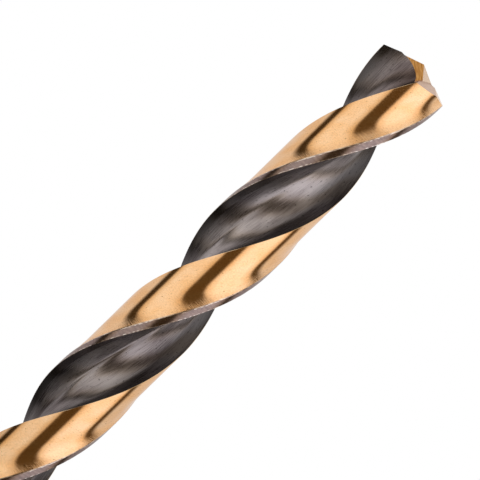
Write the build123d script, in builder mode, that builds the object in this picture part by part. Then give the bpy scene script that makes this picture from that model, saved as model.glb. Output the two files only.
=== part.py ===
from math import acos, asin, atan, ceil, cos, degrees, pi, radians, sin, sqrt, tan
import os

from build123d import *

os.makedirs("parts", exist_ok=True)

# Driving dimensions, millimetres and degrees
drill_d = 10.0  # across the margins
overall_len = 133.0  # shank end to chisel edge
flute_len = 87.0  # chisel edge to the end of the flute run-out
lead = 5.5 * drill_d  # one turn of the helix, close to 30 degrees at the margin
point_angle = 140.0  # between the two lips
lip_relief = 12.0  # fall of the flank behind its lip
lip_offset = 0.035 * drill_d  # lip ahead of the axis
margin_w = 0.085 * drill_d  # measured square to the helix
clearance_depth = 0.036 * drill_d  # land below the margin
lip_strip_w = 0.09 * drill_d  # flat strip of the flute along its cutting edge
web_d = 0.26 * drill_d  # core at the point
web_taper = 0.014  # growth of the core per millimetre of length
flute_span = 100.0  # angle the flute takes out of the rim at the point
flute_closing = 0.2  # degrees the flute narrows per millimetre of length
wheel_r = 3.0 * drill_d  # wheel that leaves the flute run-out
floor_fall = (0.31, -0.08)  # low side of the gash, fall of z along x and y
floor_rise = 0.041 * drill_d  # low side on the axis above the corners of the lips
cheek_fall = (0.55, 0.56)  # high side of the gash
gash_corner_r = 0.06 * drill_d  # rounded edge of the wheel that thins the web
notch_angle = 45.0  # split-point notch to the axis
inner_rake = -0.1  # fall along y of the face under the split inner lip
side_fall = (0, -1.3)  # far side of the notch
side_drop = 0.17 * drill_d  # far side on the axis below the corners of the lips
notch_corner_r = 0.035 * drill_d  # rounded edge of the notching wheel
shank_d = 0.995 * drill_d  # ground a little under the fluted body
shank_taper_len = 0.06 * drill_d  # cone from the shank up to the body
body_lead_in = 0.1 * drill_d  # full body below the end of the flute run-out
shank_chamfer = 0.08 * drill_d
sections_per_turn = 12  # of every helical cut

# Derived sizes shared by every cut
rim_r = drill_d / 2
shank_r = shank_d / 2
helix_angle = degrees(atan(pi * drill_d / lead))
point_rise = 1 / tan(radians(point_angle / 2))
relief_fall = tan(radians(lip_relief))
lip_reach = sqrt(rim_r**2 - lip_offset**2)
corner_z = overall_len - lip_reach * point_rise + lip_offset * relief_fall
corner_turn = degrees(asin(lip_offset / rim_r)) - 90
section_step = lead / sections_per_turn
body_bottom = overall_len - flute_len - body_lead_in


def turn_at(height):
    """Direction of the leading edge of the first land at a height, degrees."""
    return corner_turn + 360 * (height - corner_z) / lead


def polar(radius, angle):
    return (radius * cos(radians(angle)), radius * sin(radians(angle)))


def run_out(height, start):
    """How far the grinding wheel has lifted out of the work below its last full cut."""
    drop = max(0.0, start - height)
    return wheel_r - sqrt(wheel_r**2 - drop**2)


# Flute: one helical cutter, its section turned with the helix and lofted.
# The cut thins with depth because the core tapers, then lifts out along the wheel's arc.
# The section is a spline from the lip strip over the core and up the heel, leaving the rim.
rake_points = [(0.63, 0.024), (0.44, 0.065)]  # parts of the rim radius along the leading edge and across
core_points = [(0.065, 0.22), (0.005, 0.55), (0.06, 0.85), (0.19, 1.015)]  # rise over the core, part of the span
heel_points = [(0.72, 1.05), (0.86, 1.035), (1.25, 0.945)]  # part of the rim radius, part of the span
hollow_steps = [0, 0.10, 0.21, 0.31, 0.41, 0.50, 0.59, 0.73, 0.79, 1]  # the same at every height
hollow_start = (-1, 0.08)
hollow_end = (0.2, 1)
run_out_overlap = 1.08  # the wheel is followed a little way clear of the work
flute_lift = rim_r - web_d / 2
run_out_len = sqrt(wheel_r**2 - (wheel_r - flute_lift) ** 2)
full_flute_z = overall_len - flute_len + run_out_len
flute_bottom = full_flute_z - run_out_overlap * run_out_len
flute_top = overall_len + section_step
flute_sections = ceil((flute_top - flute_bottom) / section_step)
lip_strip_r = rim_r - lip_strip_w
lift_turn = flute_span / 2
mouth_out, mouth_part = heel_points[-1]
outside_r = mouth_out * rim_r

with BuildPart() as flute:
    for i in range(flute_sections + 1):
        height = flute_bottom + (flute_top - flute_bottom) * i / flute_sections
        depth = max(0.0, corner_z - height)
        turn = turn_at(height)
        core_r = (web_d + web_taper * depth) / 2
        heel = flute_span - flute_closing * depth
        shift = polar(run_out(height, full_flute_z), turn + lift_turn)
        section = Plane(
            origin=(shift[0], shift[1], height),
            x_dir=(cos(radians(turn)), sin(radians(turn)), 0),
            z_dir=(0, 0, 1),
        )
        hollow = [(lip_strip_r, 0)]
        hollow += [(along * rim_r, across * rim_r) for along, across in rake_points]
        hollow += [polar(core_r + rise * rim_r, part * heel) for rise, part in core_points]
        hollow += [polar(out * rim_r, part * heel) for out, part in heel_points]
        with BuildSketch(section):
            with BuildLine():
                Line((outside_r, 0), hollow[0])
                slopes = [hollow_start, hollow_end]
                add(Edge.make_spline(hollow, tangents=slopes, parameters=hollow_steps))
                ThreePointArc(
                    hollow[-1], polar(outside_r, mouth_part / 2 * heel), (outside_r, 0)
                )
            make_face()
    loft()

# Body clearance: a shallow cut behind the margin. It drops from the margin's back edge as a flat
# that touches the clearance circle, and follows that circle over the heel into the flute.
# It fades out just above the flute run-out.
margin_turn = degrees(margin_w / cos(radians(helix_angle)) / rim_r)
clear_r = rim_r - clearance_depth
mouth_r = rim_r + clearance_depth
foot_turn = -margin_turn - degrees(acos(clear_r / rim_r))
mouth_turn = foot_turn + degrees(acos(clear_r / mouth_r))
heel_overlap = 14.0  # degrees the cut carries on past the heel at the point
clear_end = flute_span - 180 - heel_overlap
clear_middle = (foot_turn + clear_end) / 2
clear_fade = sqrt(wheel_r**2 - (wheel_r - clearance_depth) ** 2)
fade_overlap = 0.2  # part of the fade followed below full depth of the flute
clear_bottom = full_flute_z - fade_overlap * clear_fade
clear_sections = ceil((flute_top - clear_bottom) / section_step)

with BuildPart() as clearance:
    for i in range(clear_sections + 1):
        height = clear_bottom + (flute_top - clear_bottom) * i / clear_sections
        turn = turn_at(height)
        lift = run_out(height, full_flute_z + clear_fade)
        section = Plane(
            origin=(0, 0, height),
            x_dir=(cos(radians(turn)), sin(radians(turn)), 0),
            z_dir=(0, 0, 1),
        )
        foot = polar(clear_r + lift, foot_turn)
        end = polar(clear_r + lift, clear_end)
        mouth = polar(mouth_r + lift, mouth_turn)
        mouth_end = polar(mouth_r + lift, clear_end)
        with BuildSketch(section):
            with BuildLine():
                Line(mouth, foot)
                ThreePointArc(foot, polar(clear_r + lift, clear_middle), end)
                Line(end, mouth_end)
                ThreePointArc(mouth_end, polar(mouth_r + lift, clear_middle), mouth)
            make_face()
    loft()

# Point: faces of the second land, each normal written as the fall of z along x and y.
# flank - main relief behind the lip
# floor - low side of the gash that thins the web, crossing the lip at half radius
# cheek - high side of the gash, rising to the chisel edge
# inner - rake face of the split inner lip, through the axis
# side  - far side of the notch, leaving through the heel
apex = Vector(0, 0, overall_len)
flank_normal = Vector(relief_fall, point_rise, 1)
floor_normal = Vector(*floor_fall, 1)
cheek_normal = Vector(*cheek_fall, 1)
inner_normal = Vector(tan(radians(90 - notch_angle)), inner_rake, 1)
side_normal = Vector(*side_fall, 1)
floor_at = Vector(0, 0, corner_z + floor_rise)
side_at = Vector(0, 0, corner_z - side_drop)
point_reach = 2 * drill_d


def valley(first, first_at, second, second_at):
    """Plane square to the valley of two faces: X runs out along the first face, Y up."""
    along = first.cross(second).normalized()
    across = along.cross(first).normalized()
    gap = second.dot(second_at - first_at) / second.dot(across)
    return Plane(origin=first_at + across * gap, x_dir=across, z_dir=across.cross(first))


def between(first, second):
    """Corners of the open wedge between two faces, the first lying along X."""
    opening = 180 - first.get_angle(second)
    return [(0, 0), (point_reach, 0), (0, point_reach), polar(point_reach, opening)]


with BuildPart() as flank:
    with BuildSketch(Plane(origin=apex, z_dir=flank_normal)):
        Rectangle(point_reach, point_reach)
    extrude(amount=point_reach)

with BuildPart() as gash:
    with BuildSketch(valley(floor_normal, floor_at, cheek_normal, apex)) as gash_profile:
        with BuildLine():
            Polyline(between(floor_normal, cheek_normal), close=True)
        make_face()
        fillet(gash_profile.vertices().sort_by_distance((0, 0))[0], gash_corner_r)
    extrude(amount=point_reach, both=True)

with BuildPart() as notch:
    with BuildSketch(valley(side_normal, side_at, inner_normal, apex)) as notch_profile:
        with BuildLine():
            Polyline(between(side_normal, inner_normal), close=True)
        make_face()
        fillet(notch_profile.vertices().sort_by_distance((0, 0))[0], notch_corner_r)
    extrude(amount=point_reach, both=True)

# Drill: the ground rod, its two flutes and clearances, then the point
with BuildPart() as drill:
    with BuildSketch(Plane.XZ):
        with BuildLine():
            Polyline(
                (0, 0),
                (shank_r - shank_chamfer, 0),
                (shank_r, shank_chamfer),
                (shank_r, body_bottom - shank_taper_len),
                (rim_r, body_bottom),
                (rim_r, flute_top),
                (0, flute_top),
                close=True,
            )
        make_face()
    revolve(axis=Axis.Z)
    with PolarLocations(0, 2):
        add(flute.part, mode=Mode.SUBTRACT)
        add(clearance.part, mode=Mode.SUBTRACT)
    with PolarLocations(0, 2):
        add(flank.part, mode=Mode.SUBTRACT)
        add(gash.part, mode=Mode.SUBTRACT)
        add(notch.part, mode=Mode.SUBTRACT)

drill.part.label = "twist_drill"
export_step(drill.part, "parts/twist_drill.step")
print("solids", len(drill.part.solids()), "faces", len(drill.part.faces()))
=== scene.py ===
import math

import bmesh
import bpy
import numpy as np
from mathutils import Matrix
from mathutils.geometry import delaunay_2d_cdt


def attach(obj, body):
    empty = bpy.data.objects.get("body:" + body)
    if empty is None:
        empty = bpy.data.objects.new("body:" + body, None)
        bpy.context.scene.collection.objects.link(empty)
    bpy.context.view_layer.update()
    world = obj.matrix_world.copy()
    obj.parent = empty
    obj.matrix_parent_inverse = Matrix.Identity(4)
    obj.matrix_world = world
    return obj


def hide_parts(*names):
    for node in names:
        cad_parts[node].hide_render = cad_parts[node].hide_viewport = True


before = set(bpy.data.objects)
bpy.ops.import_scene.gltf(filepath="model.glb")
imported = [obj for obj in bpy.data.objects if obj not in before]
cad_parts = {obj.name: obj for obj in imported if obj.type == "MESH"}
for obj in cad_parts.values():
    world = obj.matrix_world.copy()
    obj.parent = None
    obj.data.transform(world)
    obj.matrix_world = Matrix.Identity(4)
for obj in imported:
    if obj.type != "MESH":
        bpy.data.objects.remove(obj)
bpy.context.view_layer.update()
print("frame loaded")

# millimetres and degrees throughout, unless a note says otherwise
drill = {
    "diameter": 10.0,  # across the margins
    "length": 133.0,  # shank end to chisel edge
    "fluteLength": 87.0,  # chisel edge to the end of the flute run-out
    "lead": 55.0,  # one turn of the helix
    "pointAngle": 140.0,
    "lipRelief": 12.0,  # fall of the flank behind its lip
    "lipOffset": 0.35,  # lip ahead of the axis
    "marginWidth": 0.85,  # square to the helix
    "clearance": 0.36,  # land below the margin
    "flatBlend": 12.0,  # half of the soft turn from the land into the flat behind the margin
    "wheel": 30.0,  # radius of the wheel that leaves the flute run-out
    "shankDiameter": 9.95,
    "shankTaper": 0.6,  # length of the cone between the shank and the body
    "shankChamfer": 0.8,
    "bodyLeadIn": 1.0,  # full body below the end of the flute run-out
    "edgeBreak": 0.035,
}
flute = {
    "span": 100.0,  # angle taken out of the rim at the point
    "closing": 0.2,  # degrees it narrows per millimetre of length
    "lipStrip": 0.9,  # flat strip along the cutting edge
    "web": 2.6,  # core at the point
    "webTaper": 0.014,  # growth of the core per millimetre of length
    # points of the hollow's curve from the lip strip to outside the heel
    "rake": [(0.63, 0.024), (0.44, 0.065)],  # parts of the rim radius along the leading edge and across it
    "core": [(0.065, 0.22), (0.005, 0.55), (0.06, 0.85), (0.19, 1.015)],  # rise over the core, part of span
    "heel": [(0.72, 1.05), (0.86, 1.035), (1.25, 0.945)],  # part of the rim radius, part of the span
    "knots": [0, 0.10, 0.21, 0.31, 0.41, 0.50, 0.59, 0.73, 0.79, 1],  # the points' places along the curve
    "start": (-1, 0.08),  # directions at its two ends
    "end": (0.2, 1),
    "stripSteps": 120,  # of the straight line in from the rim
    "curveSteps": 600,
}
mm = 0.001

rimR = drill["diameter"] / 2
clearR = rimR - drill["clearance"]
pointRise = 1 / math.tan(math.radians(drill["pointAngle"] / 2))
reliefFall = math.tan(math.radians(drill["lipRelief"]))
lipReach = math.sqrt(rimR**2 - drill["lipOffset"] ** 2)
cornerZ = drill["length"] - lipReach * pointRise + drill["lipOffset"] * reliefFall
cornerTurn = math.degrees(math.asin(drill["lipOffset"] / rimR)) - 90
helixAngle = math.atan(math.pi * drill["diameter"] / drill["lead"])
marginTurn = math.degrees(drill["marginWidth"] / math.cos(helixAngle) / rimR)
fluteLift = rimR - flute["web"] / 2
wheelR = drill["wheel"]
fluteRunOut = math.sqrt(wheelR**2 - (wheelR - fluteLift) ** 2)
fullFluteZ = drill["length"] - drill["fluteLength"] + fluteRunOut
clearFade = math.sqrt(wheelR**2 - (wheelR - drill["clearance"]) ** 2)
bodyZ = drill["length"] - drill["fluteLength"] - drill["bodyLeadIn"]


def polar(radius, degrees):
    # x = radius cos angle, y = radius sin angle
    angle = np.radians(degrees)
    return np.stack(np.broadcast_arrays(radius * np.cos(angle), radius * np.sin(angle)), -1)


def runOut(height, start):
    # lift of the wheel's arc: its radius minus the root of radius squared less the drop squared
    drop = np.clip(start - height, 0, wheelR)
    return wheelR - np.sqrt(wheelR**2 - drop**2)


def splineWeights(knots, places):
    # clamped cubic spline written as weights on its points and its two end slopes: the slopes in between
    # make the curvature run on from span to span, and each span is the cubic with its two values and slopes
    count = len(knots)
    step = np.diff(knots)
    system = np.zeros((count, count))
    right = np.zeros((count, count + 2))
    system[0, 0] = system[-1, -1] = 1
    right[0, count] = right[-1, count + 1] = 1
    for knot in range(1, count - 1):
        before, after = step[knot - 1], step[knot]
        system[knot, knot - 1 : knot + 2] = after, 2 * (before + after), before
        right[knot, knot - 1] = -3 * after / before
        right[knot, knot] = 3 * (after / before - before / after)
        right[knot, knot + 1] = 3 * before / after
    slopes = np.linalg.solve(system, right)
    span = np.clip(np.searchsorted(knots, places, side="right") - 1, 0, count - 2)
    width = step[span][:, None]
    part = ((places - knots[span]) / step[span])[:, None]
    points = np.eye(count, count + 2)
    return (
        (1 + 2 * part) * (1 - part) ** 2 * points[span]
        + part**2 * (3 - 2 * part) * points[span + 1]
        + width * part * (1 - part) ** 2 * slopes[span]
        - width * part**2 * (1 - part) * slopes[span + 1]
    )


hollowKnots = np.array(flute["knots"])
hollowWeights = splineWeights(hollowKnots, np.linspace(0, 1, flute["curveSteps"] + 1))


def hollowCurve(heights):
    # spline through the flute's points at each height, where the core's radius is half of the web plus the
    # taper times the depth below the lips, and the span is smaller by the closing times that depth
    depth = np.maximum(0, cornerZ - heights)
    core = (flute["web"] + flute["webTaper"] * depth) / 2
    span = flute["span"] - flute["closing"] * depth
    points = [polar(rimR - flute["lipStrip"], 0 * span)]
    points += [np.broadcast_to(np.multiply(rake, rimR), span.shape + (2,)) for rake in flute["rake"]]
    points += [polar(core + rise * rimR, part * span) for rise, part in flute["core"]]
    points += [polar(out * rimR, part * span) for out, part in flute["heel"]]
    points = np.stack(points, axis=1)
    chords = np.linalg.norm(np.diff(points, axis=1)[:, [0, -1]], axis=-1) / np.diff(hollowKnots)[[0, -1]]
    slopes = np.array([flute["start"], flute["end"]])
    slopes = slopes / np.linalg.norm(slopes, axis=1)[:, None] * chords[..., None]
    return np.einsum("pk,hkc->hpc", hollowWeights, np.concatenate([points, slopes], axis=1))


def fluteCurve(heights):
    # the lip strip as a straight line in from outside the rim, then the hollow; all of it moves out along
    # the middle of the flute by the wheel's lift
    count = (len(heights), flute["stripSteps"])
    outside = flute["heel"][-1][0] * rimR
    straight = np.linspace(outside, rimR - flute["lipStrip"], flute["stripSteps"], endpoint=False)
    strip = np.stack([np.broadcast_to(straight, count), np.zeros(count)], -1)
    lift = runOut(heights, fullFluteZ)[:, None] * polar(1.0, flute["span"] / 2)
    return np.concatenate([strip, hollowCurve(heights)], axis=1) + lift[:, None, :]


def crossing(radius, level):
    # place where each row of radii first falls to its level, in steps and parts of a step
    row = np.arange(len(radius))
    first = np.clip(np.argmax(radius < level[:, None], axis=1), 1, None)
    inside, outside = radius[row, first], radius[row, first - 1]
    return first - (level - inside) / (outside - inside)


def curveAt(curve, places):
    # points of each row's curve at fractional places, straight between its steps
    index = np.clip(places.astype(int), 0, curve.shape[1] - 2)
    part = (places - index)[..., None]
    row = np.arange(len(curve))[:, None]
    return curve[row, index] * (1 - part) + curve[row, index + 1] * part


def flatRise(past):
    # radius over the clearance radius by the angle past the foot: its second derivative grows evenly
    # from 0 to 1 over twice the blend, then stays 1, which is a flat
    blend = math.radians(drill["flatBlend"])
    beyond = np.maximum(past - 2 * blend, 0)
    within = np.minimum(past, 2 * blend)
    return 1 + within**3 / (12 * blend) + blend * beyond + beyond**2 / 2


def flatReach(radius):
    # angle past the foot at which the flat reaches a radius: the same formula solved for the angle
    blend = math.radians(drill["flatBlend"])
    rest = radius / clearR - 1 - 2 * blend**2 / 3
    return blend + math.sqrt(blend**2 + 2 * rest)


columns = {  # where the columns of each strip lie across it, 0 to 1
    "lipStrip": np.linspace(0, 1, 5, endpoint=False),
    "hollow": np.linspace(0, 1, 90),
    "land": np.linspace(0, 1, 33, endpoint=False),
    "flat": np.linspace(0, 1, 25),
    "margin": np.linspace(0, 1, 13),
}


def outline(heights):
    # half of the section at each height, in the leading edge's own directions: in along the lip strip,
    # round the hollow, over the heel, back along the land at the clearance radius, up the flat and along
    # the margin; below the run-out the flute is closed and its columns meet on the rim
    edge = drill["edgeBreak"]
    edgeTurn = math.degrees(edge / rimR)
    curve = fluteCurve(heights)
    radius = np.linalg.norm(curve, axis=-1)
    clearLift = runOut(heights, fullFluteZ + clearFade)
    landR = np.minimum(rimR, clearR + clearLift)
    closed = radius.min(axis=1) > landR - 2 * edge
    lowest = np.argmin(radius, axis=1)

    # the two places where the flute curve crosses the rim and the land
    start = np.where(closed, lowest, crossing(radius, np.full(len(heights), rimR - edge)))
    finish = radius.shape[1] - 1 - crossing(radius[:, ::-1], landR - edge)
    finish = np.where(closed, lowest, np.maximum(finish, start))
    stripEnd = np.clip(float(flute["stripSteps"]), start, finish)
    strip = curveAt(curve, start[:, None] + (stripEnd - start)[:, None] * columns["lipStrip"])
    hollow = curveAt(curve, stripEnd[:, None] + (finish - stripEnd)[:, None] * columns["hollow"])
    leadTurn = np.degrees(np.arctan2(strip[:, 0, 1], strip[:, 0, 0]))
    heelTurn = np.degrees(np.arctan2(hollow[:, -1, 1], hollow[:, -1, 0]))
    deepest = curve[np.arange(len(heights)), lowest]
    meeting = polar(rimR, np.degrees(np.arctan2(deepest[:, 1], deepest[:, 0])))[:, None, :]
    strip = np.where(closed[:, None, None], meeting, strip)
    hollow = np.where(closed[:, None, None], meeting, hollow)

    # land, flat and margin by their angles from the heel to the next cutting edge
    breakTurn = np.where(closed, 0, edgeTurn)
    foot = 180 - marginTurn - math.degrees(flatReach(rimR))
    landStart = heelTurn + breakTurn
    land = polar(landR[:, None], landStart[:, None] + (foot - landStart)[:, None] * columns["land"])
    turnPast = flatReach(rimR - edge) * columns["flat"]
    flatR = np.minimum(rimR, clearR * flatRise(turnPast) + clearLift[:, None])
    flat = polar(flatR, foot + np.degrees(turnPast))
    marginStart = 180 - marginTurn + edgeTurn
    marginEnd = 180 + leadTurn - breakTurn
    margin = polar(rimR, marginStart + (marginEnd - marginStart)[:, None] * columns["margin"])
    return np.concatenate([strip, hollow, land, flat, margin], axis=1)


def bothLands(half):
    # the second land is the first one turned half a turn: (x, y) and (-x, -y)
    return np.concatenate([half, -half], axis=1)


def turned(local, heights):
    # turn the section by its height along the lead
    turn = np.radians(cornerTurn + 360 * (heights - cornerZ) / drill["lead"])
    x = local[..., 0] * np.cos(turn) - local[..., 1] * np.sin(turn)
    y = local[..., 0] * np.sin(turn) + local[..., 1] * np.cos(turn)
    return np.stack([x, y], axis=-1)


point = {  # falls of z along x and y, and heights in millimetres
    "gashFloorFall": (0.31, -0.08),  # low side of the gash that thins the web
    "gashFloorRise": 0.41,  # on the axis, above the corners of the lips
    "gashCheekFall": (0.55, 0.56),  # high side of the gash
    "gashCorner": 0.6,  # rounded edge of the gashing wheel
    "notchSideFall": (0.0, -1.3),  # far side of the split-point notch
    "notchSideDrop": 1.7,  # on the axis, below the corners of the lips
    "notchFaceFall": (1.0, -0.1),  # face of the notch under the inner lip, 45 degrees to the axis
    "notchCorner": 0.35,  # rounded edge of the notching wheel
    "cornerSteps": 6,
}
groundFaces = {  # each face by the fall of z along x and y, and its height on the axis
    "flank": ((reliefFall, pointRise), drill["length"]),
    "gashFloor": (point["gashFloorFall"], cornerZ + point["gashFloorRise"]),
    "gashCheek": (point["gashCheekFall"], drill["length"]),
    "notchSide": (point["notchSideFall"], cornerZ - point["notchSideDrop"]),
    "notchFace": (point["notchFaceFall"], drill["length"]),
}


def groundValley(lowFace, highFace, cornerName, radius):
    # a cut as (name, fall, height) of its planes: its low face, the planes that round the valley, and its
    # high face; each of the round's planes lies on a chord of the arc of this radius that touches both
    # faces, so the ground surface stays the highest of them all
    low, high = groundFaces[lowFace], groundFaces[highFace]
    normals = np.array([(*low[0], 1.0), (*high[0], 1.0)])
    lengths = np.linalg.norm(normals, axis=1)
    units = normals / lengths[:, None]
    centre = np.linalg.lstsq(units, np.array([low[1], high[1]]) / lengths + radius, rcond=None)[0]
    opening = math.acos(float(units[0] @ units[1]))
    turns = np.linspace(0, 1, point["cornerSteps"] + 1)[:, None]
    fan = (np.sin((1 - turns) * opening) * units[0] + np.sin(turns * opening) * units[1]) / math.sin(opening)
    touch = centre - radius * fan
    middle = fan[:-1] + fan[1:]
    middle = middle / middle[:, 2:]
    corner = [(cornerName, tuple(normal[:2]), float(normal @ at)) for normal, at in zip(middle, touch)]
    return [(lowFace, *low), *corner, (highFace, *high)]


pointCuts = [
    [("flank", *groundFaces["flank"])],
    groundValley("gashFloor", "gashCheek", "gashRound", point["gashCorner"]),
    groundValley("notchSide", "notchFace", "notchRound", point["notchCorner"]),
]
pointPlanes = [plane for cut in pointCuts for plane in cut]
planeNames = [name for name, fall, height in pointPlanes] * 2
planeFalls = np.array([fall for name, fall, height in pointPlanes])
planeFalls = np.concatenate([planeFalls, -planeFalls])  # the second land's planes, half a turn round
planeHeights = np.tile([height for name, fall, height in pointPlanes], 2)
cutStarts = np.cumsum([0] + [len(cut) for cut in pointCuts] * 2)


def pointSurface(places):
    # height of the ground point over x and y: the lowest cut, each cut being the highest of its planes;
    # also the number of the plane that is left there
    each = planeHeights - places @ planeFalls.T
    best = np.full(places.shape[:-1], np.inf)
    plane = np.zeros(places.shape[:-1], int)
    for begin, end in zip(cutStarts[:-1], cutStarts[1:]):
        own = each[..., begin:end]
        high = own.max(axis=-1)
        lower = high < best
        plane = np.where(lower, begin + own.argmax(axis=-1), plane)
        best = np.where(lower, high, best)
    return best, plane


tip = {
    "below": 9.0,  # sections worked out ahead from this far below the chisel edge
    "above": 1.0,
    "sections": 81,
    "heightHalvings": 44,
    "columnHalvings": 40,
    "sameFall": 1e-9,
    "digits": 9,  # crossings alike to so many places are one
    "beside": 1e-5,  # step to either side of an edge
    "onSurface": 1e-7,
    "shortest": 1e-6,  # edge that is kept
}
tipHeights = np.linspace(drill["length"] - tip["below"], drill["length"] + tip["above"], tip["sections"])
tipOutline = bothLands(outline(tipHeights))


def tipWall(column, height):
    # wall position at a fractional column and a height near the tip, straight between tipOutline's sections
    total = tipOutline.shape[1]
    low = np.floor(column).astype(int)
    across = (column - low)[:, None]
    level = (height - tipHeights[0]) / (tipHeights[1] - tipHeights[0])
    under = np.clip(level.astype(int), 0, len(tipHeights) - 2)
    up = (level - under)[:, None]
    here, following = low % total, (low + 1) % total
    lower = tipOutline[under, here] * (1 - across) + tipOutline[under, following] * across
    upper = tipOutline[under + 1, here] * (1 - across) + tipOutline[under + 1, following] * across
    return turned(lower * (1 - up) + upper * up, height)


def rimHeight(column):
    # halve the span between a height inside the metal and one above it until the wall meets the point
    low = np.full(len(column), tipHeights[0])
    high = np.full(len(column), tipHeights[-1])
    for _ in range(tip["heightHalvings"]):
        middle = (low + high) / 2
        inside = middle < pointSurface(tipWall(column, middle))[0]
        low, high = np.where(inside, middle, low), np.where(inside, high, middle)
    return low, pointSurface(tipWall(column, low))[1]


def rimColumns():
    # whole columns, plus one wherever the rim passes from one ground face to the next
    whole = np.arange(tipOutline.shape[1], dtype=float)
    plane = rimHeight(whole)[1]
    change = np.nonzero(plane != np.roll(plane, -1))[0]
    left, right = whole[change], whole[change] + 1
    added = []
    while len(left):
        low, high = left, right
        own, last = rimHeight(left)[1], rimHeight(right)[1]
        for _ in range(tip["columnHalvings"]):
            middle = (low + high) / 2
            same = rimHeight(middle)[1] == own
            low, high = np.where(same, middle, low), np.where(same, high, middle)
        added.append(low)
        more = rimHeight(high)[1] != last
        left, right = high[more], right[more]
    return np.sort(np.concatenate([whole, *added]))


def creaseOf(first, second):
    # edge between two ground faces: the line where their planes are level, cut where a third plane crosses
    # it, keeping the pieces that lie on the surface and part two faces there
    across = planeFalls[first] - planeFalls[second]
    size = float(across @ across)
    if size < tip["sameFall"]:
        return []
    at = across * (planeHeights[first] - planeHeights[second]) / size
    along = np.array((-across[1], across[0])) / math.sqrt(size)
    falling = (planeFalls - planeFalls[first]) @ along
    level = planeHeights - planeHeights[first] - (planeFalls - planeFalls[first]) @ at
    crossed = np.abs(falling) > tip["sameFall"]
    stops = np.concatenate([level[crossed] / falling[crossed], (-rimR, rimR)])
    stops = np.unique(np.round(stops[np.abs(stops) <= rimR], tip["digits"]))
    middles = (stops[:-1] + stops[1:]) / 2
    places = at + middles[:, None] * along
    beside = across / math.sqrt(size) * tip["beside"]
    own = planeHeights[first] - places @ planeFalls[first]
    kept = np.abs(pointSurface(places)[0] - own) < tip["onSurface"]
    kept &= pointSurface(places + beside)[1] != pointSurface(places - beside)[1]
    kept &= np.diff(stops) > tip["shortest"]
    spans = zip(stops[:-1][kept], stops[1:][kept])
    return [(at + start * along, at + finish * along) for start, finish in spans]


def creases():
    # every edge between two ground faces
    count = len(planeNames)
    pairs = [(first, second) for first in range(count) for second in range(first + 1, count)]
    return [crease for first, second in pairs for crease in creaseOf(first, second)]


rimAt = rimColumns()  # as whole and fractional columns of tipOutline
rimZ = rimHeight(rimAt)[0]
rimPlaces = tipWall(rimAt, rimZ)
print("rim of", len(rimAt), "columns from", round(rimZ.min(), 3), "to", round(rimZ.max(), 3))

sections = {  # heights of the wall's rows up the drill
    "shankStart": 4.0,
    "shankEnd": 0.4,  # below the cone
    "shankCount": 9,
    "bodyStart": 0.5,  # above the foot of the body
    "bodyStep": 0.25,
    "fluteStart": 53.0,
    "fluteStep": 0.4,
    "tipCount": 16,  # from there up to the rim
}
coneZ = bodyZ - drill["shankTaper"]
rowHeights = np.concatenate([
    [0, drill["shankChamfer"]],
    np.linspace(sections["shankStart"], coneZ - sections["shankEnd"], sections["shankCount"]),
    [coneZ, bodyZ],
    np.arange(bodyZ + sections["bodyStart"], sections["fluteStart"], sections["bodyStep"]),
    np.arange(sections["fluteStart"], tipHeights[0], sections["fluteStep"]),
])


def bodyRadius(heights):
    # straight lines between the radii at the chamfer's two ends and the cone's two ends
    shankR = drill["shankDiameter"] / 2
    stops = [0, drill["shankChamfer"], coneZ, bodyZ]
    return np.interp(heights, stops, [shankR - drill["shankChamfer"], shankR, shankR, rimR])


def wallGrid():
    # rows of the section turned along the lead, then rows that share out the last stretch below the rim
    local = bothLands(outline(rowHeights)) * (bodyRadius(rowHeights) / rimR)[:, None, None]
    low = np.floor(rimAt).astype(int)
    across = (rimAt - low)[:, None]
    total = local.shape[1]
    local = local[:, low % total] * (1 - across) + local[:, (low + 1) % total] * across
    heights = np.broadcast_to(rowHeights[:, None], local.shape[:2])
    lower = np.concatenate([turned(local, np.maximum(heights, bodyZ)), heights[..., None]], -1)
    start = rowHeights[-1] + sections["fluteStep"]
    upper = []
    for part in np.linspace(0, 1, sections["tipCount"]):
        heights = start + (rimZ - start) * part
        upper.append(np.concatenate([tipWall(rimAt, heights), heights[:, None]], -1))
    return np.concatenate([lower, np.array(upper)])


def pointCap():
    # constrained triangles over the rim and the edges between ground faces, lifted to the point surface
    places = [tuple(place) for place in rimPlaces]
    ring = list(range(len(places)))
    lines = []
    for start, finish in creases():
        lines.append((len(places), len(places) + 1))
        places += [tuple(start), tuple(finish)]
    flat, _, faces, source, _, within = delaunay_2d_cdt(places, lines, [ring], 1, tip["shortest"])
    flat = np.array([tuple(place) for place in flat])
    heights = pointSurface(flat)[0]
    rimNumbers = [[number for number in origin if number < len(ring)] for origin in source]
    onRim = np.array([min(numbers, default=-1) for numbers in rimNumbers])
    faces = np.array([face for face, parents in zip(faces, within) if parents])
    middles = flat[faces].mean(axis=1)
    return flat, heights, onRim, faces, pointSurface(middles)[1]


stripFinish = {
    "lipStrip": "lipStrip",
    "hollow": "blackFlute",
    "heelEdge": "heelEdge",
    "land": "goldLand",
    "flat": "goldLand",
    "marginEdge": "wornEdge",
    "margin": "groundMargin",
    "cuttingEdge": "wornEdge",
}
planeFinish = {
    "flank": "groundFlank",
    "gashFloor": "gashFloor",
    "gashRound": "gashFloor",
    "gashCheek": "gashCheek",
    "notchSide": "notchSide",
    "notchRound": "notchSide",
    "notchFace": "notchFace",
}
finishes = ["goldLand", "blackFlute", "lipStrip", "groundMargin", "wornEdge", "heelEdge"]
finishes += ["groundFlank", "gashFloor", "gashCheek", "notchFace", "notchSide"]
skin = {
    "measuredAt": 100.0,  # height of the section that gives the distances across the strips
    "marginFade": 0.5,  # the margin ends this far below the full flute
    "smallestFace": 1e-7,  # twice its area in square millimetres
    "seam": 1e-4,  # points nearer than this are joined
    "sliver": 1e-5,
    "sharpFrom": 22.0,  # angle between faces that stays an edge
}


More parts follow.
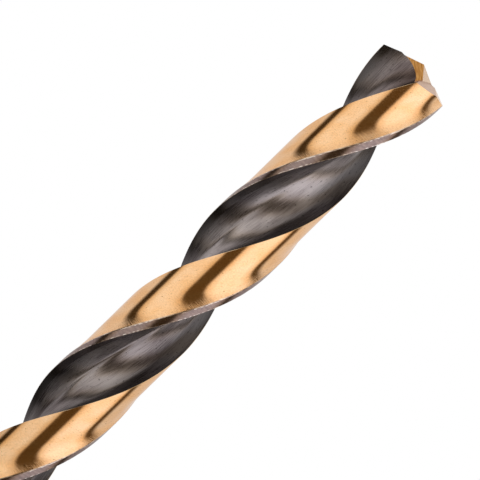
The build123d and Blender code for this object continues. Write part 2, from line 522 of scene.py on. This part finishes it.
def stripNames():
    # the strip that lies between each column and the next
    steps = {name: len(places) for name, places in columns.items()}
    half = ["lipStrip"] * steps["lipStrip"] + ["hollow"] * (steps["hollow"] - 1) + ["heelEdge"]
    half += ["land"] * steps["land"] + ["flat"] * (steps["flat"] - 1) + ["marginEdge"]
    half += ["margin"] * (steps["margin"] - 1) + ["cuttingEdge"]
    return [(half + half)[int(at)] for at in rimAt]


def wallFinish(wall, names):
    # finish of each quad by its strip; the shank is coated all over, and so is the body below the margins
    gold = finishes.index("goldLand")
    strips = [finishes.index(stripFinish[name]) for name in names]
    finish = np.tile(strips, (len(wall) - 1, 1))
    belowMargin = wall[:-1, :, 2].max(axis=1) < fullFluteZ - skin["marginFade"]
    finish[np.ix_(belowMargin, np.isin(names, ["margin", "marginEdge"]))] = gold
    finish[wall[:-1, 0, 2] < bodyZ] = gold
    return finish.reshape(-1)


def acrossStrips(wall, names):
    # distances round one section at both sides of every column, and the same as the number of the strip plus
    # the part of its width that lies behind
    section = wall[np.argmin(np.abs(rowHeights - skin["measuredAt"])), :, :2]
    widths = np.linalg.norm(np.roll(section, -1, axis=0) - section, axis=1)
    sides = np.stack([np.cumsum(widths) - widths, np.cumsum(widths)], -1)
    changes = [column for column in range(1, len(names)) if names[column] != names[column - 1]]
    parts = np.zeros_like(sides)
    for begin, end in zip([0] + changes, changes + [len(names)]):
        number = list(stripFinish).index(names[begin])
        width = sides[end - 1, 1] - sides[begin, 0]
        parts[begin:end] = number + (sides[begin:end] - sides[begin, 0]) / width
    return sides, parts


def buildDrill():
    # quads of the wall's grid, triangles of the point and one face at the shank end
    wall = wallGrid()
    rowCount, columnCount = wall.shape[:2]
    names = stripNames()
    index = np.arange(rowCount * columnCount).reshape(rowCount, columnCount)
    following = np.roll(index, -1, axis=1)
    quads = np.stack([index[:-1], following[:-1], following[1:], index[1:]], -1).reshape(-1, 4)
    flat, heights, onRim, capFaces, capPlane = pointCap()
    inner = onRim < 0
    vertices = np.concatenate([wall.reshape(-1, 3), np.column_stack([flat[inner], heights[inner]])]) * mm
    capIndex = np.where(inner, rowCount * columnCount + np.cumsum(inner) - 1, index[-1, 0] + onRim)
    bottom = index[0, ::-1]
    corner = vertices[quads]
    area = np.linalg.norm(np.cross(corner[:, 2] - corner[:, 0], corner[:, 3] - corner[:, 1]), axis=1)
    solid = area > skin["smallestFace"] * mm**2
    mesh = bpy.data.meshes.new("drillBody")
    faces = quads[solid].tolist() + capIndex[capFaces].tolist() + [bottom.tolist()]
    mesh.from_pydata(vertices.tolist(), [], faces)

    # a finish for every face
    capFinish = [finishes.index(planeFinish[planeNames[plane]]) for plane in capPlane]
    finish = np.concatenate([wallFinish(wall, names)[solid], capFinish, [finishes.index("goldLand")]])
    mesh.polygons.foreach_set("material_index", finish.astype(np.int32))

    # the grinding map in millimetres across and up the drill, and each corner's place in its strip
    sides, parts = acrossStrips(wall, names)
    quadColumn = np.tile(np.arange(columnCount), rowCount - 1)[solid]
    quadMap = np.stack([sides[quadColumn][:, [0, 1, 1, 0]], wall[..., 2].reshape(-1)[quads[solid]]], -1)
    capMap = np.concatenate([flat[capFaces].reshape(-1, 2), wall[0, ::-1, :2]])
    grind = mesh.uv_layers.new(name="grind")
    grind.data.foreach_set("uv", np.concatenate([quadMap.reshape(-1, 2), capMap]).astype(np.float32).ravel())
    strip = mesh.attributes.new("strip", "FLOAT", "CORNER")
    quadPart = parts[quadColumn][:, [0, 1, 1, 0]].ravel()
    strip.data.foreach_set("value", np.concatenate([quadPart, np.zeros(len(capMap))]).astype(np.float32))
    mesh.validate()
    piece = bpy.data.objects.new("drillBody", mesh)
    bpy.context.scene.collection.objects.link(piece)
    return piece


def joinSeams(piece):
    # merge the columns that meet below the run-out, and count the edges that don't join two faces
    work = bmesh.new()
    work.from_mesh(piece.data)
    bmesh.ops.remove_doubles(work, verts=work.verts, dist=skin["seam"] * mm)
    bmesh.ops.dissolve_degenerate(work, edges=work.edges, dist=skin["sliver"] * mm)
    bmesh.ops.delete(work, geom=[vert for vert in work.verts if not vert.link_faces], context="VERTS")
    unjoined = sum(len(edge.link_faces) != 2 for edge in work.edges)
    volume = round(work.calc_volume() / mm**3, 1)
    print("drill of", len(work.faces), "faces,", unjoined, "open edges,", volume, "cubic millimetres")
    work.to_mesh(piece.data)
    work.free()
    piece.data.shade_smooth()
    piece.data.set_sharp_from_angle(angle=math.radians(skin["sharpFrom"]))


body = buildDrill()
joinSeams(body)
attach(body, "root")
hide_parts("twist_drill")
print("drill built")


def put(tree, kind, inputs=(), **settings):
    # one shader node: constants or sockets for its inputs by name or number, and its own settings
    node = tree.nodes.new("ShaderNode" + kind)
    for key, value in settings.items():
        setattr(node, key, value)
    for key, value in dict(inputs).items():
        if isinstance(value, bpy.types.NodeSocket):
            tree.links.new(value, node.inputs[key])
        elif isinstance(value, tuple) and len(value) == 3 and len(node.inputs[key].default_value) == 4:
            node.inputs[key].default_value = (*value, 1)
        else:
            node.inputs[key].default_value = value
    return node


def combine(tree, operation, *values):
    # one sum, product or other operation on numbers
    return put(tree, "Math", dict(enumerate(values)), operation=operation).outputs[0]


def spread(tree, value, low, high, toLow=0.0, toHigh=1.0):
    # straight line from one range to another, held at its ends
    return put(tree, "MapRange", {0: value, 1: low, 2: high, 3: toLow, 4: toHigh}).outputs[0]


def mix(tree, factor, first, second):
    # first colour times one less the factor, plus second colour times the factor
    return put(tree, "Mix", {0: factor, 6: first, 7: second}, data_type="RGBA").outputs[2]


def scaled(tree, color, factor):
    # colour times one number
    return put(tree, "VectorMath", {0: color, 3: factor}, operation="SCALE").outputs[0]


def grain(tree, size, detail, shift=0.0, turn=0.0):
    # noise in the grinding directions: size is waves per millimetre across the strips and along the drill,
    # or across and along a direction turned by some degrees; patterns with different shifts don't repeat
    ground = put(tree, "UVMap", uv_map="grind").outputs[0]
    angle = math.radians(turn)
    ground = put(tree, "VectorRotate", {0: ground, "Angle": angle}, rotation_type="Z_AXIS").outputs[0]
    placed = put(tree, "Mapping", {"Vector": ground, "Scale": (*size, 1), "Location": (shift, shift, 0)})
    noise = put(tree, "TexNoise", {"Vector": placed.outputs[0], "Scale": 1.0, "Detail": detail})
    return noise.outputs["Fac"]


def stripPlace(tree):
    # the strip's number in stripFinish plus the part of its width that lies behind
    return put(tree, "Attribute", attribute_name="strip").outputs["Fac"]


def heightOf(tree):
    # millimetres up the drill
    ground = put(tree, "UVMap", uv_map="grind").outputs[0]
    return put(tree, "SeparateXYZ", {0: ground}).outputs["Y"]


def newFinish(name, color, roughness, relief=None, depth=0.0, metallic=1.0):
    # bare or coated metal: colour, roughness and relief are functions that add their nodes to its tree
    material = bpy.data.materials.new(name)
    material.use_nodes = True
    tree = material.node_tree
    tree.nodes.clear()
    inputs = {"Base Color": color(tree), "Metallic": metallic, "Roughness": roughness(tree)}
    if relief:
        lift = put(tree, "Bump", {"Height": relief(tree), "Strength": 1.0, "Distance": depth * mm})
        inputs["Normal"] = lift.outputs[0]
    shader = put(tree, "BsdfPrincipled", inputs)
    put(tree, "OutputMaterial", {"Surface": shader.outputs[0]})
    return material


# In each finish a pattern is (waves per millimetre across and along, detail, shift), a level is the stretch
# of that pattern that takes effect, and a place is a strip's number plus the part of its width behind it.
grainLevel = (0.35, 0.65)  # most of the noise lies between these

goldCoat = {
    "pale": (0.97, 0.64, 0.37),
    "deep": (0.94, 0.56, 0.27),
    "speck": (0.40, 0.24, 0.10),
    "clouds": ((0.5, 0.35), 3, 0.0),
    "specks": ((5.0, 4.0), 1, 5.0),
    "speckLevel": (0.70, 0.74),
    "fine": ((4.0, 9.0), 2, 11.0),
    "fineShade": (0.91, 1.09),
    "mottle": ((6.0, 8.0), 2, 2.0),
    "mottleLevel": (0.35, 0.70),
    "mottleRoughness": (0.05, 0.16),
    "hatch": ((0.8, 9.0), 3, 7.0),
    "hatchRoughness": (0.14, 0.42),
    "hatchPlace": (4.5, 4.9),  # over the last half of the flat, next to the margin
    "landRelief": 0.3,  # share of the relief on the rest of the land
    "depth": 0.014,
}


def goldLand():
    # golden coating: clouds, specks and fine mottling, and a hatch round the drill up to the margin
    def color(tree):
        clouds = spread(tree, grain(tree, *goldCoat["clouds"]), *grainLevel)
        specks = spread(tree, grain(tree, *goldCoat["specks"]), *goldCoat["speckLevel"])
        coat = mix(tree, specks, mix(tree, clouds, goldCoat["pale"], goldCoat["deep"]), goldCoat["speck"])
        fine = spread(tree, grain(tree, *goldCoat["fine"]), *grainLevel, *goldCoat["fineShade"])
        return scaled(tree, coat, fine)

    def roughness(tree):
        mottle = grain(tree, *goldCoat["mottle"])
        mottled = spread(tree, mottle, *goldCoat["mottleLevel"], *goldCoat["mottleRoughness"])
        hatched = spread(tree, grain(tree, *goldCoat["hatch"]), *grainLevel, *goldCoat["hatchRoughness"])
        near = spread(tree, stripPlace(tree), *goldCoat["hatchPlace"])
        return put(tree, "Mix", {0: near, 2: mottled, 3: hatched}, data_type="FLOAT").outputs[0]

    def relief(tree):
        near = spread(tree, stripPlace(tree), *goldCoat["hatchPlace"], goldCoat["landRelief"], 1.0)
        return combine(tree, "MULTIPLY", grain(tree, *goldCoat["hatch"]), near)

    return newFinish("goldLand", color, roughness, relief, goldCoat["depth"])


steamedFlute = {
    "dark": (0.15, 0.126, 0.128),
    "light": (0.49, 0.447, 0.442),
    "clouds": ((0.35, 0.12), 2, 3.0),
    "streaks": ((9.0, 0.45), 3, 0.0),
    "streakShare": 0.35,
    "cloudLevel": (0.38, 0.62),
    "heelPlace": (1.50, 1.82),  # in the second half of the hollow, where painted shade darkens the flute towards the heel
    "heelPaintedShade": 0.28,
    # painted shade beside the lip strip, where the hollow meets it
    "lipPlace": (1.0, 1.2),
    "lipPaintedShade": 0.6,
    "pits": ((3.2, 3.2), 1, 9.0),
    "pitLevel": (0.68, 0.72),
    "pitShade": 0.3,
    # near the tip: a warmer purple-brown tint of the metal, with painted shade in it that grows towards the
    # heel
    "tipHeight": (121.0, 129.0),  # up the drill
    "tipPlace": (1.2, 1.7),
    "tipLipShare": 0.2,  # share of the tint and its painted shade beside the lip strip
    "tipTintAndShade": (0.42, 0.33, 0.31),
    "streakLevel": (0.3, 0.7),
    "roughness": (0.25, 0.33),
    "depth": 0.002,
    "metallic": 0.93,
}


def blackFlute():
    # steam-blackened hollow: soft clouds, fine streaks along the flute and a few pits, with painted shade
    # towards the heel and beside the lip, and near the tip a warmer tint with painted shade towards the heel
    def streaks(tree):
        return grain(tree, *steamedFlute["streaks"])

    def color(tree):
        share = steamedFlute["streakShare"]
        clouds = combine(tree, "MULTIPLY", grain(tree, *steamedFlute["clouds"]), 1 - share)
        level = combine(tree, "ADD", clouds, combine(tree, "MULTIPLY", streaks(tree), share))
        metal = spread(tree, level, *steamedFlute["cloudLevel"])
        metal = mix(tree, metal, steamedFlute["dark"], steamedFlute["light"])
        # painted shade: darker towards the heel, standing in for the flute's own shade there
        heel = spread(tree, stripPlace(tree), *steamedFlute["heelPlace"], 1.0, steamedFlute["heelPaintedShade"])
        # painted shade: darker beside the lip strip
        lip = spread(tree, stripPlace(tree), *steamedFlute["lipPlace"], steamedFlute["lipPaintedShade"], 1.0)
        pits = grain(tree, *steamedFlute["pits"])
        pits = spread(tree, pits, *steamedFlute["pitLevel"], 1.0, steamedFlute["pitShade"])
        for shade in (heel, lip, pits):
            metal = scaled(tree, metal, shade)
        # near the tip the colour is warmed and darkened, more towards the heel: partly a tint of the metal,
        # partly painted shade
        nearTip = spread(tree, heightOf(tree), *steamedFlute["tipHeight"])
        side = spread(tree, stripPlace(tree), *steamedFlute["tipPlace"], steamedFlute["tipLipShare"], 1.0)
        tintAndShade = mix(tree, combine(tree, "MULTIPLY", nearTip, side), (1.0, 1.0, 1.0), steamedFlute["tipTintAndShade"])
        return put(tree, "VectorMath", {0: metal, 1: tintAndShade}, operation="MULTIPLY").outputs[0]

    def roughness(tree):
        return spread(tree, streaks(tree), *steamedFlute["streakLevel"], *steamedFlute["roughness"])

    return newFinish("blackFlute", color, roughness, streaks, steamedFlute["depth"], steamedFlute["metallic"])


marginGrind = {
    "light": (0.33, 0.25, 0.225),
    "dark": (0.23, 0.175, 0.165),
    "clouds": ((1.5, 3.0), 4),
    "worn": (0.85, 0.78, 0.72),
    "chips": ((5.0, 2.2), 3, 4.0),
    "chipLevel": (0.50, 0.56),
    "middle": 6.5,  # place of the margin's middle
    "edges": (0.37, 0.46),  # parts of the width to either side of the middle
    "roughness": 0.18,
}


def groundMargin():
    # margin ground after blackening, chipped bright here and there along both its edges
    def color(tree):
        clouds = spread(tree, grain(tree, *marginGrind["clouds"]), *grainLevel)
        ground = mix(tree, clouds, marginGrind["light"], marginGrind["dark"])
        fromMiddle = combine(tree, "SUBTRACT", stripPlace(tree), marginGrind["middle"])
        edge = spread(tree, combine(tree, "ABSOLUTE", fromMiddle), *marginGrind["edges"])
        chips = spread(tree, grain(tree, *marginGrind["chips"]), *marginGrind["chipLevel"])
        return mix(tree, combine(tree, "MULTIPLY", edge, chips), ground, marginGrind["worn"])

    return newFinish("groundMargin", color, lambda tree: marginGrind["roughness"])


plainGrinds = {
    # light and dark metal, roughness, and a pattern, which may end in its turn in degrees
    "lipStrip": ((0.24, 0.22, 0.22), (0.20, 0.18, 0.18), 0.25, ((9.0, 0.45), 4)),
    "wornEdge": ((0.93, 0.77, 0.61), (0.33, 0.22, 0.16), 0.3, ((4.0, 1.6), 4)),
    "heelEdge": ((1.0, 0.78, 0.50), (0.86, 0.58, 0.30), 0.2, ((2.0, 0.8), 4)),
    "groundFlank": ((0.79, 0.54, 0.37), (0.71, 0.48, 0.32), 0.25, ((1.5, 3.0), 4)),
    "gashFloor": ((0.63, 0.40, 0.26), (0.52, 0.31, 0.20), 0.3, ((1.5, 3.0), 4)),
    "gashCheek": ((0.92, 0.69, 0.50), (0.83, 0.60, 0.43), 0.25, ((1.5, 3.0), 4)),
    "notchFace": ((1.0, 0.54, 0.17), (0.54, 0.21, 0.03), 0.3, ((5.0, 0.8), 4, 0.0, 47.0)),
    "notchSide": ((0.56, 0.29, 0.16), (0.42, 0.21, 0.12), 0.3, ((1.5, 3.0), 4)),
}


def plainGrind(name, light, dark, roughness, pattern):
    # metal that wavers between two shades along its grinding
    def color(tree):
        return mix(tree, spread(tree, grain(tree, *pattern), *grainLevel), light, dark)

    return newFinish(name, color, lambda tree: roughness)


made = {"goldLand": goldLand(), "blackFlute": blackFlute(), "groundMargin": groundMargin()}
for name, grind in plainGrinds.items():
    made[name] = plainGrind(name, *grind)
for name in finishes:
    body.data.materials.append(made[name])
print("finishes made")

view = {
    "tilt": 4.0,  # the point leans towards the camera
    "roll": 44.3,
    "distance": 137.0,
    "height": 103.12,  # up the drill, of the middle of the view
    "aside": 0.357,
    "lens": 86.31,
    "clipStart": 5.0,
}


def placeCamera():
    # back points from the drill to the camera: (cos tilt, 0, sin tilt); the view's right and up are the
    # drill's own direction and the one beside it, turned by the roll
    tilt, roll = math.radians(view["tilt"]), math.radians(view["roll"])
    back = np.array((math.cos(tilt), 0, math.sin(tilt)))
    ahead = np.array((-math.sin(tilt), 0, math.cos(tilt)))
    aside = np.array((0, 1, 0))
    right = math.cos(roll) * ahead + math.sin(roll) * aside
    up = math.sin(roll) * ahead - math.cos(roll) * aside
    place = np.array((0, 0, view["height"])) - view["aside"] * aside + view["distance"] * back
    lens = bpy.data.cameras.new("camera")
    lens.lens = view["lens"]
    lens.clip_start = view["clipStart"] * mm
    camera = bpy.data.objects.new("camera", lens)
    bpy.context.scene.collection.objects.link(camera)
    turn = Matrix(np.column_stack([right, up, back]).tolist()).to_quaternion()
    camera.matrix_world = Matrix.LocRotScale(place * mm, turn, None)
    bpy.context.scene.camera = camera


studio = {
    # degrees round the drill from the camera: two wide soft boxes, dark gaps beside them, pale walls behind
    "boxes": [(-73, -14), (24, 85)],
    "gaps": [(-91, -79), (-9, 18), (91, 98)],
    "boxRise": 13,
    "boxEdge": (0.78, 0.68, 0.54),
    "wallRise": 10,
    # light of the walls, the boxes and the gaps, level with the drill and higher up
    "level": {
        "walls": (0.78, 0.74, 0.73),
        "boxes": [(1.0, 0.96, 0.92), (1.26, 1.22, 1.25)],
        "gaps": [(0.05, 0.034, 0.015), (0.10, 0.062, 0.023), (0.10, 0.066, 0.03)],
    },
    "higher": {
        "walls": (1.1, 1.06, 1.03),
        "boxes": [(0.95, 0.90, 0.85), (1.0, 0.99, 1.0)],
        "gaps": [(0.18, 0.14, 0.11), (0.72, 0.63, 0.53), (0.23, 0.18, 0.13)],
    },
    "closing": (10.0, 20.0),  # degrees above the horizon between the two
    # share of it by degrees above the horizon
    "above": [(-90, 0.05), (-60, 0.05), (-30, 0.65), (-10, 1.0), (20, 1.0), (50, 0.55), (90, 0.55)],
    "brightest": 1.4,  # a ramp holds colours up to 1, so they are divided by this and multiplied again
}


def angleRamp(tree, angle, stops, low, high, brightest=1.0):
    # colours by an angle in radians, the stops given in degrees
    place = spread(tree, angle, math.radians(low), math.radians(high))
    ramp = put(tree, "ValToRGB", {0: place})
    steps = ramp.color_ramp.elements
    while len(steps) < len(stops):
        steps.new(1.0)
    for step, (degrees, strength) in zip(steps, stops):
        step.position = (degrees - low) / (high - low)
        step.color = (*(np.broadcast_to(strength, 3) / brightest), 1)
    return ramp.outputs[0]


def ringLight(light):
    # stops round the drill; a box is weaker and warmer at its two edges, and full between them
    rise = studio["boxRise"]
    gaps = list(zip(studio["gaps"], light["gaps"]))
    stops = [(-180, light["walls"]), (gaps[0][0][0] - studio["wallRise"], light["walls"])]
    for (gap, dark), (begin, end), full in zip(gaps, studio["boxes"], light["boxes"]):
        edge = tuple(np.multiply(full, studio["boxEdge"]))
        stops += [(gap[0], dark), (gap[1], dark)]
        stops += [(begin, edge), (begin + rise, full), (end - rise, full), (end, edge)]
    gap, dark = gaps[-1]
    stops += [(gap[0], dark), (gap[1], dark), (gap[1] + studio["wallRise"], light["walls"])]
    return stops + [(180, light["walls"])]


def makeStudio():
    # plain white for the camera and the floor; metal shows the soft boxes and the gaps between them
    world = bpy.data.worlds.new("studio")
    bpy.context.scene.world = world
    world.use_nodes = True
    tree = world.node_tree
    tree.nodes.clear()
    direction = put(tree, "SeparateXYZ", {0: put(tree, "TexCoord").outputs["Generated"]})
    around = combine(tree, "ARCTAN2", direction.outputs["Y"], direction.outputs["X"])
    above = combine(tree, "ARCSINE", direction.outputs["Z"])
    brightest = studio["brightest"]
    low = angleRamp(tree, around, ringLight(studio["level"]), -180, 180, brightest)
    high = angleRamp(tree, around, ringLight(studio["higher"]), -180, 180, brightest)
    closing = [math.radians(degrees) for degrees in studio["closing"]]
    ring = mix(tree, spread(tree, above, *closing), low, high)
    share = angleRamp(tree, above, studio["above"], -90, 90)
    light = scaled(tree, ring, combine(tree, "MULTIPLY", share, brightest))
    isGlossy = put(tree, "LightPath").outputs["Is Glossy Ray"]
    shown = mix(tree, isGlossy, (1.0, 1.0, 1.0), light)
    background = put(tree, "Background", {"Color": shown, "Strength": 1.0})
    put(tree, "OutputWorld", {"Surface": background.outputs[0]})


floorSheet = {
    "radius": 400.0,
    "sides": 96,
    "gap": 0.2,  # below the shank
    "pale": (0.86, 0.86, 0.86),
    "fade": (70.0, 200.0),  # into white by the distance from the drill
}


def layFloor():
    # a pale round floor under the shank that keeps the soft shadow and fades into the white round about
    turn = np.linspace(0, 360, floorSheet["sides"], endpoint=False)
    rim = polar(floorSheet["radius"], turn)
    places = np.column_stack([rim, np.full(len(turn), -floorSheet["gap"])]) * mm
    mesh = bpy.data.meshes.new("floor")
    mesh.from_pydata(places.tolist(), [], [list(range(len(turn)))])
    floor = bpy.data.objects.new("floor", mesh)
    bpy.context.scene.collection.objects.link(floor)
    floor.visible_glossy = False
    material = bpy.data.materials.new("floor")
    material.use_nodes = True
    tree = material.node_tree
    tree.nodes.clear()
    place = put(tree, "TexCoord").outputs["Object"]
    out = put(tree, "VectorMath", {0: place}, operation="LENGTH").outputs["Value"]
    fade = spread(tree, out, *[distance * mm for distance in floorSheet["fade"]])
    isCamera = put(tree, "LightPath").outputs["Is Camera Ray"]
    pale = put(tree, "BsdfDiffuse", {"Color": floorSheet["pale"]}).outputs[0]
    white = put(tree, "Emission", {"Color": (1.0, 1.0, 1.0), "Strength": 1.0}).outputs[0]
    shader = put(tree, "MixShader", {0: combine(tree, "MULTIPLY", fade, isCamera), 1: pale, 2: white})
    put(tree, "OutputMaterial", {"Surface": shader.outputs[0]})
    mesh.materials.append(material)


placeCamera()
makeStudio()
layFloor()
bpy.context.scene.view_settings.view_transform = "Standard"
print("studio lit")
